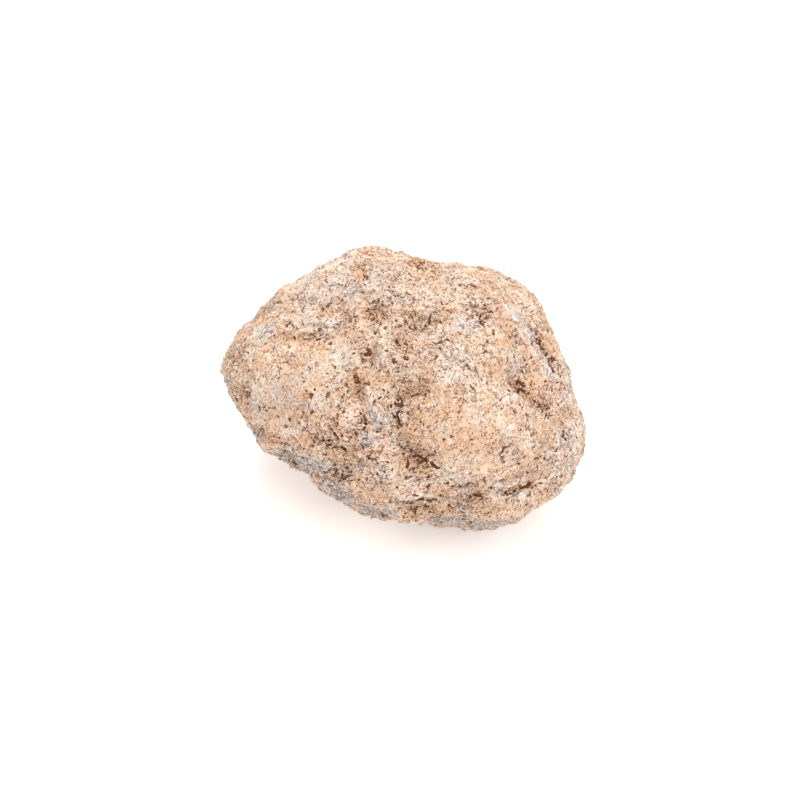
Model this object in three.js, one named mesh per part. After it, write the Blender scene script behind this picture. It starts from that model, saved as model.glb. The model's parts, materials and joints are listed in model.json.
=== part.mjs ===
// An unbroken agate geode: one closed nodule of weathered, crumbly rock, as it is found, before it is
// cracked open. It lies on a small worn foot. Its outline, lobes, valleys, ledges and larger pits are modelled
// here. Its grains, small pores and colours belong to its finish.
//
// The nodule is described in the frame of its broad face. X runs along the face, U runs up the face and D
// points out of it. The face leans back, so that its outward direction rises FACE_RISE degrees above the
// table. All lengths are in millimetres.
import * as THREE from "three";
import { ImprovedNoise } from "three/addons/math/ImprovedNoise.js";
import { mergeVertices } from "three/addons/utils/BufferGeometryUtils.js";

// Driving dimensions.
const FACE_RISE = 40; // degrees
const HALF_DEPTH = 22.5; // from the rim's plane to the middle of the face
const DEPTH_PER_U = -0.2; // the rim leans back towards its top...
const DEPTH_PER_X = 0.1; // ...and comes forward towards its right end
const FULLNESS = 2.25; // 2 is an ellipsoid, more is boxier
const FOOT_DEPTH = 1.3; // how much of the lowest point is worn flat
const EDGE_SEGMENTS = 19; // triangles along each edge of the icosahedron that the surface is divided from
const RIM_SAMPLES = 720;
const SEED = 11;

const FACE = 1;
const BACK = -1;

// The rim, seen square to the face, as [x, u] anticlockwise from the right-hand end.
const OUTLINE = [
  [29.9, -7], [28.8, -0.5], [27.2, 5], [25.3, 10], [21.8, 16], [15.5, 19.7], [10, 20.8], [5.5, 20.7],
  [-0.5, 22.7], [-5.5, 23.5], [-10.5, 22], [-16, 19.2], [-21.5, 15.2], [-26, 10.8], [-29.6, 5.6],
  [-29.8, 1.5], [-26.8, -4], [-23, -9.3], [-17.5, -13.3], [-11, -18.7], [-5, -20.8], [1, -22.5],
  [8, -23.1], [14.5, -23.4], [20.5, -21.2], [26, -17.6], [29.2, -12.5],
].map(([x, u]) => new THREE.Vector2(x, u));

// Knolls and hollows (one point) and ridges and valleys (a route of points): rise is the height at the
// middle, and reach is the distance over which it fades out.
const FORMS = [
  // the left lobe: its shoulder and flank, the pale band along its top and the long dimple under that band
  { side: FACE, route: [[-21, 4.5], [-13, 2]], rise: 1.3, reach: 7 },
  { side: FACE, route: [[-22, -2.5], [-14, -4.5]], rise: 1.5, reach: 7.5 },
  { side: FACE, route: [[-24, 8.6], [-20, 9.9], [-14, 10.2], [-9, 9.8]], rise: 1, reach: 2.7 },
  { side: FACE, route: [[-18.3, 7.5], [-12.5, 7.9]], rise: -0.9, reach: 2.5 },
  { side: FACE, route: [[-9.4, 6.8], [-10, 3]], rise: 0.9, reach: 3.4 },
  // the top left shoulder, and the valley between it and the left lobe
  { side: FACE, route: [[-13, 17.5], [-3.5, 18.5]], rise: 1.2, reach: 6.5 },
  { side: FACE, route: [[-25, 11.8], [-18, 13.2], [-12, 12.8], [-6.5, 12.8]], rise: -0.9, reach: 3.2 },
  // the valley down the middle, the two round hollows beside it, and the pillows that they leave between them
  { side: FACE, route: [[-4.2, 13.5], [-4.7, 9], [-6, 4.5], [-7, 0.5]], rise: -1.5, reach: 4.2 },
  { side: FACE, route: [[2.6, 9.4]], rise: -2.1, reach: 5 },
  { side: FACE, route: [[2, -0.5]], rise: -1.4, reach: 3.6 },
  { side: FACE, route: [[-3, 6.4], [-1, 3.8], [2, 3.2]], rise: 1, reach: 2.7 },
  { side: FACE, route: [[8, 6.4], [6.6, 1.8]], rise: 1, reach: 3.6 },
  // the valley that parts the lower lobes, with a short branch
  { side: FACE, route: [[-6.5, -3], [-3, -7.5], [1.5, -11], [5, -14.5], [8.5, -18]], rise: -1.5, reach: 4.2 },
  { side: FACE, route: [[-0.5, -3.5], [-0.3, -8.5]], rise: -0.8, reach: 2.2 },
  // the lower middle lobes, and the great right-hand lobe
  { side: FACE, route: [[-10, -5], [-7, -6.5]], rise: 0.9, reach: 4 },
  { side: FACE, route: [[-5, -12.8], [1, -15.5]], rise: 0.9, reach: 4.4 },
  { side: FACE, route: [[8.5, -6], [15.5, -7.5]], rise: 2.7, reach: 10.5 },
  { side: FACE, route: [[8, -12.8], [14, -13], [20, -11.5]], rise: 0.8, reach: 3.6 },
  { side: FACE, route: [[11, 3], [14, 6.5]], rise: 1.1, reach: 6 },
  // the upper right shoulder, with the pale ridge that runs down it and the trench beside that
  { side: FACE, route: [[9.5, 17], [14.5, 13.5]], rise: 1.1, reach: 5 },
  { side: FACE, route: [[16, 13], [19.5, 9.5], [22, 6], [24, 2.5]], rise: 1.3, reach: 2.6 },
  { side: FACE, route: [[18.8, 14], [20.6, 10], [22.3, 7.2], [24.6, 3.4]], rise: -1.3, reach: 2.3 },
  { side: FACE, route: [[22.5, 11], [25.3, 5.5]], rise: 0.9, reach: 2.8 },
  // the groove at the right-hand lobe's outer edge
  { side: FACE, route: [[18.1, 0.6], [18.8, -0.8], [20.4, -2.5], [23.3, -4.2]], rise: -1.5, reach: 2.4 },
  { side: FACE, route: [[16.8, 4.2]], rise: 0.9, reach: 3.2 },
  // the tiers below the lower ledges, and the rough bay between them
  { side: FACE, route: [[-21, -11], [-15, -13], [-10.5, -16.8]], rise: 0.9, reach: 3.2 },
  { side: FACE, route: [[12.5, -19.7], [18, -19], [23, -17.4]], rise: 1.3, reach: 3.6 },
  { side: FACE, route: [[1, -21.5], [8, -22]], rise: 0.9, reach: 3 },
  { side: FACE, route: [[1.5, -19.3], [7, -19.6]], rise: -1.2, reach: 3 },
  // the dip in the top edge
  { side: FACE, route: [[3.5, 20.3]], rise: -1, reach: 3.5 },

  // the back: two lobes, a saddle, a long valley, a shelf and a few hollows
  { side: BACK, route: [[-14, 7], [-6, 10]], rise: 2, reach: 10 },
  { side: BACK, route: [[13, 4], [17, -5]], rise: 2.2, reach: 10 },
  { side: BACK, route: [[2, 17], [3.5, 8], [0, 1], [2, -8]], rise: -2, reach: 4.6 },
  { side: BACK, route: [[-20, -1], [-12, -3], [-4, -8]], rise: -1.6, reach: 4.2 },
  { side: BACK, route: [[20, 10], [12, 13]], rise: -1.4, reach: 4.2 },
  { side: BACK, route: [[9, 9]], rise: -1.6, reach: 4.5 },
  { side: BACK, route: [[-22, 7]], rise: -1.2, reach: 4 },
  { side: BACK, route: [[22, 0], [24, -8]], rise: -1.2, reach: 3.4 },
];

// Ledges: the surface swells to a lip on the left of the route, and drops away on its right.
const LEDGE_STEP = 1.4; // how wide the step is, from the lip to the drop
const LIP_REACH = 1.6; // how much further the lip fades out than the drop
const LEDGES = [
  // under the left lobe, above the grey flank
  {
    side: FACE,
    route: [[-12.5, -8.8], [-17, -9.6], [-21, -8.8], [-24.3, -6.8]],
    lip: 0.7, drop: 1.1, reach: 3,
  },
  // under the right-hand lobe
  {
    side: FACE,
    route: [[22, -13], [20, -14.9], [17, -15.9], [13.5, -15.9], [10, -17.4]],
    lip: 0.9, drop: 1.3, reach: 3,
  },
  // the two small brows to its left
  { side: FACE, route: [[7, -17], [3.4, -17.3], [0, -18.4]], lip: 0.6, drop: 0.9, reach: 2.2 },
  { side: FACE, route: [[-5.5, -15.2], [-9.5, -14.4], [-13.5, -14.8]], lip: 0.6, drop: 0.9, reach: 2.4 },
  // the brow of the lower middle lobe
  { side: FACE, route: [[-13, -9.2], [-9.5, -9.9], [-6, -11]], lip: 0.4, drop: 0.7, reach: 2 },
  // the back's shelves
  { side: BACK, route: [[-16, 13], [-8, 15.5], [-1, 14]], lip: 0.8, drop: 1.1, reach: 3 },
  { side: BACK, route: [[6, -4], [11, -9], [18, -12]], lip: 0.8, drop: 1.1, reach: 3 },
];

// The pits that are wide enough to be shapes of their own, as [x, u, reach, depth] on the face.
const PITS = [
  [-4.2, 12.6, 2.3, 1.4], [-9.7, 11.4, 1.9, 0.8], [-13.2, 13.4, 2, 0.9], [-4.7, 9, 1.7, 0.9],
  [-14.5, 7.7, 1.8, 0.5], [-0.5, 6.8, 2.1, 1.3], [3.4, 10.9, 2.2, 1.2], [5.3, 4.9, 1.7, 0.9],
  [-5.7, 5.6, 1.6, 0.8], [-6.8, 1.2, 1.8, 1], [2.1, -0.5, 1.9, 0.9], [-11.8, -0.7, 1.6, 0.7],
  [-6.6, -3.3, 1.7, 0.8], [-21.4, -2.9, 1.8, 1], [-12.4, -8.1, 2, 1], [-10.4, -9.4, 1.9, 1.2],
  [-9.2, -14, 1.9, 1.1], [-5, -11.2, 1.7, 0.9], [0.2, -9, 1.6, 0.9], [1.6, -11.2, 2, 1.1],
  [12, -17, 2, 1.1], [20, -15, 1.8, 1], [18.6, -0.2, 2, 1], [21, -2.8, 1.7, 0.8],
  [22, 7.4, 1.7, 0.9], [12.9, 10.6, 1.8, 0.7], [10.6, 14.3, 1.8, 0.6], [14.4, 8.9, 1.7, 0.6],
  [19.3, 13.6, 1.7, 0.7], [-18.5, -10.8, 1.8, 1], [3.2, 20.4, 2.6, 0.8], [9.3, -19, 1.9, 1],
  [15.5, -9.8, 1.8, 0.7], [9.5, -7.3, 1.8, 0.5],
];

// Knobs that cover the whole nodule, with creases where they meet. The large ones are flatter on the face.
const KNOBS = [
  { count: 120, smallest: 3.8, largest: 7.5, rise: 1.4, onFace: 0.5 },
  { count: 650, smallest: 2, largest: 3.3, rise: 0.85, onFace: 1 },
];
const ROUGHNESS = [
  { grain: 5.5, height: 0.42 },
  { grain: 2.7, height: 0.3 },
];

const noise = new ImprovedNoise();
const { clamp, smoothstep, degToRad } = THREE.MathUtils;

// A repeatable random number from 0 to 1.
function randomFrom(seed) {
  let state = seed;
  return () => {
    state = (state * 1664525 + 1013904223) % 4294967296;
    return state / 4294967296;
  };
}

// 1 at the middle, fading smoothly to 0 at a distance of reach.
function fade(distance, reach) {
  const t = Math.min(distance / reach, 1);
  return (1 - t * t) ** 2;
}

// The rim's radius in each direction of the face, from a smooth curve through OUTLINE.
function makeRim() {
  const points = OUTLINE.map((p) => new THREE.Vector3(p.x, p.y, 0));
  const curve = new THREE.CatmullRomCurve3(points, true, "centripetal");
  const samples = curve
    .getSpacedPoints(RIM_SAMPLES)
    .map(({ x, y }) => ({ angle: Math.atan2(y, x), radius: Math.hypot(x, y) }));
  samples.sort((a, b) => a.angle - b.angle);
  const first = samples[0];
  const last = samples.at(-1);
  samples.unshift({ angle: last.angle - 2 * Math.PI, radius: last.radius });
  samples.push({ angle: first.angle + 2 * Math.PI, radius: first.radius });
  return (angle) => {
    let low = 0;
    let high = samples.length - 1;
    while (high - low > 1) {
      const middle = (low + high) >> 1;
      if (samples[middle].angle <= angle) low = middle;
      else high = middle;
    }
    const a = samples[low];
    const b = samples[high];
    const t = clamp((angle - a.angle) / (b.angle - a.angle || 1), 0, 1);
    return a.radius + (b.radius - a.radius) * t;
  };
}

const rimRadius = makeRim();

// The plain body, before any form is laid on it, in the direction of a unit vector.
function bodyPoint(direction) {
  const flat = Math.hypot(direction.x, direction.y);
  const size = (flat ** FULLNESS + Math.abs(direction.z) ** FULLNESS) ** (-1 / FULLNESS);
  const angle = Math.atan2(direction.y, direction.x);
  const radius = rimRadius(angle) * flat * size;
  const x = radius * Math.cos(angle);
  const u = radius * Math.sin(angle);
  const d = HALF_DEPTH * direction.z * size + DEPTH_PER_U * u + DEPTH_PER_X * x;
  return new THREE.Vector3(x, u, d);
}

// The point of the plain body at [x, u] on its face or its back.
function onBody([x, u], side) {
  const share = Math.min(Math.hypot(x, u) / rimRadius(Math.atan2(u, x)), 1);
  const depth = side * HALF_DEPTH * (1 - share ** FULLNESS) ** (1 / FULLNESS);
  return new THREE.Vector3(x, u, depth + DEPTH_PER_U * u + DEPTH_PER_X * x);
}

// A form with its route laid on the body.
function laid(form) {
  return { ...form, points: form.route.map((place) => onBody(place, form.side)) };
}

// How far a point is from a route, and on which side of it: positive on the left, seen from outside the body.
function offsetFrom({ points, side }, place) {
  if (points.length === 1) return { distance: place.distanceTo(points[0]), across: 0 };
  let found = { distance: Infinity, across: 0 };
  const near = new THREE.Vector3();
  for (let i = 1; i < points.length; i++) {
    const line = new THREE.Line3(points[i - 1], points[i]);
    line.closestPointToPoint(place, true, near);
    const distance = near.distanceTo(place);
    if (distance < found.distance) {
      const along = points[i].clone().sub(points[i - 1]);
      const turn = along.x * (place.y - points[i - 1].y) - along.y * (place.x - points[i - 1].x);
      found = { distance, across: (side * turn) / Math.hypot(along.x, along.y) };
    }
  }
  return found;
}

function formRise(form, place) {
  return form.rise * fade(offsetFrom(form, place).distance, form.reach);
}

// The lip swells slowly on the left of the route, and the drop on its right is sharper.
function ledgeRise({ lip, drop, reach, ...ledge }, place) {
  const { distance, across } = offsetFrom(ledge, place);
  const above = lip * fade(distance, reach * LIP_REACH);
  const below = -drop * fade(distance, reach);
  return below + (above - below) * smoothstep(across, -LEDGE_STEP / 2, LEDGE_STEP / 2);
}

// Knobs strewn evenly over the body, on a spiral from one end of the D axis to the other.
function strew({ count, smallest, largest, rise }) {
  const random = randomFrom(SEED + count);
  const turn = Math.PI * (3 - Math.sqrt(5));
  return Array.from({ length: count }, (_, i) => {
    const height = 1 - (2 * (i + random())) / count;
    const angle = i * turn + random();
    const flat = Math.sqrt(Math.max(0, 1 - height * height));
    const at = bodyPoint(new THREE.Vector3(flat * Math.cos(angle), flat * Math.sin(angle), height));
    const reach = smallest + (largest - smallest) * random();
    return { at, reach, rise: rise * (0.3 + 0.7 * random()) };
  });
}

// Knobs overlap without adding up, so a crease is left where two of them meet.
function knobRise(knobs, place) {
  const rises = knobs.map(({ at, reach, rise }) => rise * fade(at.distanceTo(place), reach));
  return Math.max(...rises);
}

function roughRise(place) {
  return ROUGHNESS.reduce((sum, { grain, height }) => {
    const p = place.clone().divideScalar(grain);
    return sum + height * noise.noise(p.x + SEED, p.y, p.z);
  }, 0);
}

function makeNodule() {
  const unit = new THREE.IcosahedronGeometry(1, EDGE_SEGMENTS);
  unit.deleteAttribute("normal");
  unit.deleteAttribute("uv");
  const geometry = mergeVertices(unit, 1e-5);
  const position = geometry.getAttribute("position");
  const direction = new THREE.Vector3();
  const bodyPlaces = Array.from({ length: position.count }, (_, i) =>
    bodyPoint(direction.fromBufferAttribute(position, i).normalize()),
  );
  bodyPlaces.forEach((place, i) => position.setXYZ(i, ...place));
  geometry.computeVertexNormals();
  const normal = geometry.getAttribute("normal").clone();

  const forms = FORMS.map(laid);
  const ledges = LEDGES.map(laid);
  const pits = PITS.map(([x, u, reach, depth]) => laid({ side: FACE, route: [[x, u]], rise: -depth, reach }));
  const knobLayers = KNOBS.map((layer) => ({ ...layer, knobs: strew(layer) }));
  const outward = new THREE.Vector3();
  bodyPlaces.forEach((place, i) => {
    outward.fromBufferAttribute(normal, i);
    const facing = smoothstep(outward.z, -0.2, 0.5);
    let rise = roughRise(place);
    for (const { knobs, onFace, rise: most } of knobLayers)
      rise += (knobRise(knobs, place) - most / 2) * (1 + (onFace - 1) * facing);
    for (const form of forms) rise += formRise(form, place);
    for (const pit of pits) rise += formRise(pit, place);
    for (const ledge of ledges) rise += ledgeRise(ledge, place);
    position.setXYZ(i, ...place.clone().addScaledVector(outward, rise));
  });
  return geometry;
}

// Turns the nodule from the face's frame to the table's, with Z up and the face towards -Y, and stands it on
// its foot over the origin.
function layDown(geometry) {
  const rise = degToRad(FACE_RISE);
  const right = new THREE.Vector3(1, 0, 0);
  const up = new THREE.Vector3(0, Math.sin(rise), Math.cos(rise));
  const out = new THREE.Vector3(0, -Math.cos(rise), Math.sin(rise));
  geometry.applyMatrix4(new THREE.Matrix4().makeBasis(right, up, out));
  geometry.computeBoundingBox();
  const floor = geometry.boundingBox.min.z + FOOT_DEPTH;
  const position = geometry.getAttribute("position");
  for (let i = 0; i < position.count; i++) position.setZ(i, Math.max(position.getZ(i), floor));
  const { min, max } = geometry.boundingBox;
  geometry.translate(-(min.x + max.x) / 2, -(min.y + max.y) / 2, -floor);
  return geometry;
}

const rind = new THREE.MeshStandardMaterial({ color: 0xdcbda5, roughness: 0.95, metalness: 0 });
const nodule = new THREE.Mesh(layDown(makeNodule()), rind);
nodule.name = "geode_nodule";

const geode = new THREE.Group();
geode.name = "agate_geode";
geode.add(nodule);

export default geode;
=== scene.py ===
"""Dresses the solid of an unbroken agate geode: a closed nodule with a weathered, crumbly rind.

The solid gives the outline, the lobes, the ledges and the wide pits. This add-on lays a finer rind over it,
with its cracks and pores, and sets sand grains and small quartz nodules into that rind. Places on the broad
face are given in millimetres, as (x, u): x along the face and u up it, from the middle of its rim.
"""

import json
import math

import bmesh
import bpy
import numpy as np
from mathutils import Matrix, Vector, noise

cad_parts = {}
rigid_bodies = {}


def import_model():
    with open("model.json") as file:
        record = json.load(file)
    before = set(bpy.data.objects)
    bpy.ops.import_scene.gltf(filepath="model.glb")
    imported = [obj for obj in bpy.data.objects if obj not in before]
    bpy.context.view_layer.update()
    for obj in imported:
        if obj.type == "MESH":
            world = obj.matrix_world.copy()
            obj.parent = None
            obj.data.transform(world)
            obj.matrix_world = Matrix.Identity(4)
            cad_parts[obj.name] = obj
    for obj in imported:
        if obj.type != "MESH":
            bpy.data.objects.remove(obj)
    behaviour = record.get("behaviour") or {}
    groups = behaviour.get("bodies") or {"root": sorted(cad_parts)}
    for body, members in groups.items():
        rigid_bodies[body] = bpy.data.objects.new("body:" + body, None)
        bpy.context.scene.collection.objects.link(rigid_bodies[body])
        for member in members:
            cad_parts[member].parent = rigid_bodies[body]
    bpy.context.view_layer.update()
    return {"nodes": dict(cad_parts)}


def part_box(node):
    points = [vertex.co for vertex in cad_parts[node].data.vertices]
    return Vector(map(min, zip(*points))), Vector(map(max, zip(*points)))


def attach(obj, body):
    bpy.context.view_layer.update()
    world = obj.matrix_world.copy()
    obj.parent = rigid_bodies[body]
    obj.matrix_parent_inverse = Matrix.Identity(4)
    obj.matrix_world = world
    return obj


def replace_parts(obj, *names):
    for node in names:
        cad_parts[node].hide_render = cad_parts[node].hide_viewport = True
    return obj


bl_info = {
    "name": "Agate Geode",
    "version": (1, 0, 0),
    "blender": (4, 5, 0),
    "location": "View3D > Sidebar > Geode",
    "description": "Lays a crumbly, pitted rind with grains and crystals over the solid of an agate geode",
    "category": "Object",
}

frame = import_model()

MM = 0.001
NODULE = "geode_nodule"

# The broad face leans back, so that its outward direction rises this far above the table.
FACE_RISE = math.radians(40)
FACE_RIGHT = np.array((1.0, 0.0, 0.0))
FACE_UP = np.array((0.0, math.sin(FACE_RISE), math.cos(FACE_RISE)))
FACE_OUT = np.array((0.0, -math.cos(FACE_RISE), math.sin(FACE_RISE)))
# The middle of the face's rim as shares of the nodule's box, and half its length and height in mm.
FACE_MIDDLE_SHARES = (0.5002, 0.496, 0.46)
FACE_HALF = (29, 22)
# The layers' height in mm from the face's middle to its rim, how they lean away from it, and the way in noise
# space that leads from one of them to the next.
LAYER_SPAN = 25
LAYER_LEAN = 0.6
LAYER_WAY = np.array((0.8, 0.5, 0.33))
# The whole rind's area, the seed of its pores, and a distance in mm that rules out what the face hides.
RIND_CM2 = 80
PORE_SEED = 7
HIDDEN = 99.0

# Cracks and undercuts: route in mm, width in mm, depth in mm.
CRACKS = (
    (((-0.1, -1.2), (-0.4, -2.6), (-0.8, -3.8), (-0.6, -5.6)), 0.4, 0.4),
    (((1.3, -10), (0.9, -11.2), (0.8, -12.2)), 0.35, 0.4),
    (((2.2, -10.6), (3.4, -11.3), (4.4, -11.6), (5.4, -12.4)), 0.5, 0.5),
    (((-3.9, -6.6), (-2.6, -6.4), (-1.9, -6.9), (-2.4, -7.5), (-3.3, -7.8)), 0.35, 0.35),
    (((-6.5, -8.4), (-6, -9.9)), 0.35, 0.4),
    (((-10.9, -6.6), (-10.2, -7.6), (-10.4, -8.8), (-9, -9.7)), 0.4, 0.4),
    (((23.2, 5.2), (23.5, 4), (24.1, 2.8)), 0.35, 0.4),
    (((16.8, 1.5), (18.2, 1.3), (18.9, 0.4)), 0.4, 0.4),
    (((17.9, -0.9), (18.3, -0.2), (19.2, -0.6)), 0.5, 0.45),
    (((15.5, -9.9), (15.5, -8.9), (16.7, -8.8)), 0.35, 0.35),
    (((20.2, -11), (21.6, -10.4)), 0.35, 0.3),
    (((10.4, -16.9), (11.4, -16.4), (12.6, -16.6)), 0.5, 0.5),
    (((15.6, -15.9), (16.6, -16.3), (17.6, -16)), 0.4, 0.35),
    (((18.6, -15.7), (19.6, -15.4), (20.5, -14.5)), 0.5, 0.4),
    (((0.3, -18.3), (1.9, -17.6), (3.4, -17.4), (5.4, -17.6)), 0.4, 0.4),
    (((-3.2, -20.5), (-1.9, -21.1)), 0.4, 0.3),
    (((25.6, -6.4), (25.4, -7.4), (26, -8)), 0.35, 0.35),
)

# Ridges: route in mm, width in mm, height in mm.
RIDGES = (
    (((-24.4, 8.4), (-20.6, 9.8), (-16.6, 10.6), (-12.8, 10.6), (-9.6, 9.8)), 2, 0.26),
    (((-17.8, 8.3), (-15.6, 9.2), (-13.4, 9.7), (-11.2, 9.2), (-10.3, 7.8), (-10.9, 6.2)), 1.1, 0.32),
    (((-19, 6.6), (-16.4, 5.4), (-13.6, 5.2), (-11.8, 5.8)), 1.2, 0.2),
    (((-12.8, 17), (-10.8, 17.4), (-9.4, 18.4)), 1, 0.3),
    (((-22.4, 12), (-20.4, 12.2), (-19.4, 13.4)), 1, 0.25),
    (((-7.4, 13.2), (-8.4, 12.4), (-8.6, 11)), 0.9, 0.25),
    (((-3.4, 9.6), (-3.2, 7.6), (-2.8, 5.4), (-3.6, 3.4)), 1.5, 0.35),
    (((-2, 8), (-0.6, 8), (0.6, 8.6), (2, 7.8)), 0.8, 0.3),
    (((-1.6, 4.8), (0.8, 5), (2.8, 4.6), (4.4, 5.8)), 1.1, 0.35),
    (((1, 2.6), (3.2, 2.6), (4.6, 3.6), (6.4, 5.6), (7.2, 7.8)), 1, 0.3),
    (((-0.8, 13), (0.6, 12.4), (2.2, 12.6), (4.6, 12.2), (6, 10.6)), 1.4, 0.3),
    (((16, 13.6), (17.4, 11.4), (19.4, 9.4), (20.8, 7.6), (22.2, 4.8), (23.6, 2.2)), 1.6, 0.25),
    (((20.6, 12.6), (22.2, 10.2), (24.2, 7.4), (25.4, 4.4)), 1.5, 0.3),
    (((0.6, -1.6), (1.8, -2.2), (3.6, -2.8)), 1.2, 0.3),
    (((-5.2, -0.6), (-4.6, -2.6), (-3.6, -4.6)), 2.2, 0.4),
    (((-9.6, -10.6), (-8, -10.8), (-7, -11.8)), 1.2, 0.35),
    (((-12.6, -5.6), (-11.8, -6.6), (-12, -7.4)), 1.1, 0.3),
    (((-3, -11.6), (-2, -13.4), (-2.4, -15.4)), 2, 0.35),
    (((-1.4, -17.6), (0.4, -17), (2.6, -16.5), (4.6, -16.6)), 0.9, 0.4),
    (
        ((7.6, -16.6), (9.6, -15.6), (12, -15.2), (14.4, -14.8), (16.8, -15), (18.8, -13.8), (19.8, -12.6)),
        1.1,
        0.4,
    ),
    (((-14.4, -14.2), (-11.6, -14.8), (-8.4, -15), (-5.4, -16.8), (-2.8, -19.6)), 1, 0.3),
    (((-22.6, -8.6), (-19.6, -9.2), (-16.6, -9.8)), 1, 0.3),
    (((20, -10), (21.2, -9.8), (22.4, -10.4)), 1, 0.25),
    (((24.4, -7.2), (24.2, -9.2), (24.6, -11)), 1, 0.3),
)

# Filled grooves of the solid: route in mm, width in mm, height in mm.
FILLS = (
    (((18.1, 0.6), (18.8, -0.8), (20.4, -2.5), (23.3, -4.2)), 2.8, 0.9),
    (((-17.6, 8), (-12.4, 8.5)), 2.6, 0.5),
)

# Where the outline swells or sinks: place and reach in mm, rise in mm.
SWELLS = (
    (23.6, 12.8, 5.5, 0.5), (-19.6, 16.8, 4, 0.4), (-29.8, 4.6, 3.5, 0.35), (26.5, -15.5, 5, 0.3),
    (-4.8, 23.6, 3, -0.4), (7, 21, 3, -0.45), (-24.6, -7.8, 3, -0.35),
)

# Fainter crests lie beside the ridges: their spacing, height and reach in mm.
RIPPLE = 1.0
RIPPLE_HEIGHT = 0.08
RIDGE_REACH = 2.4

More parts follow.
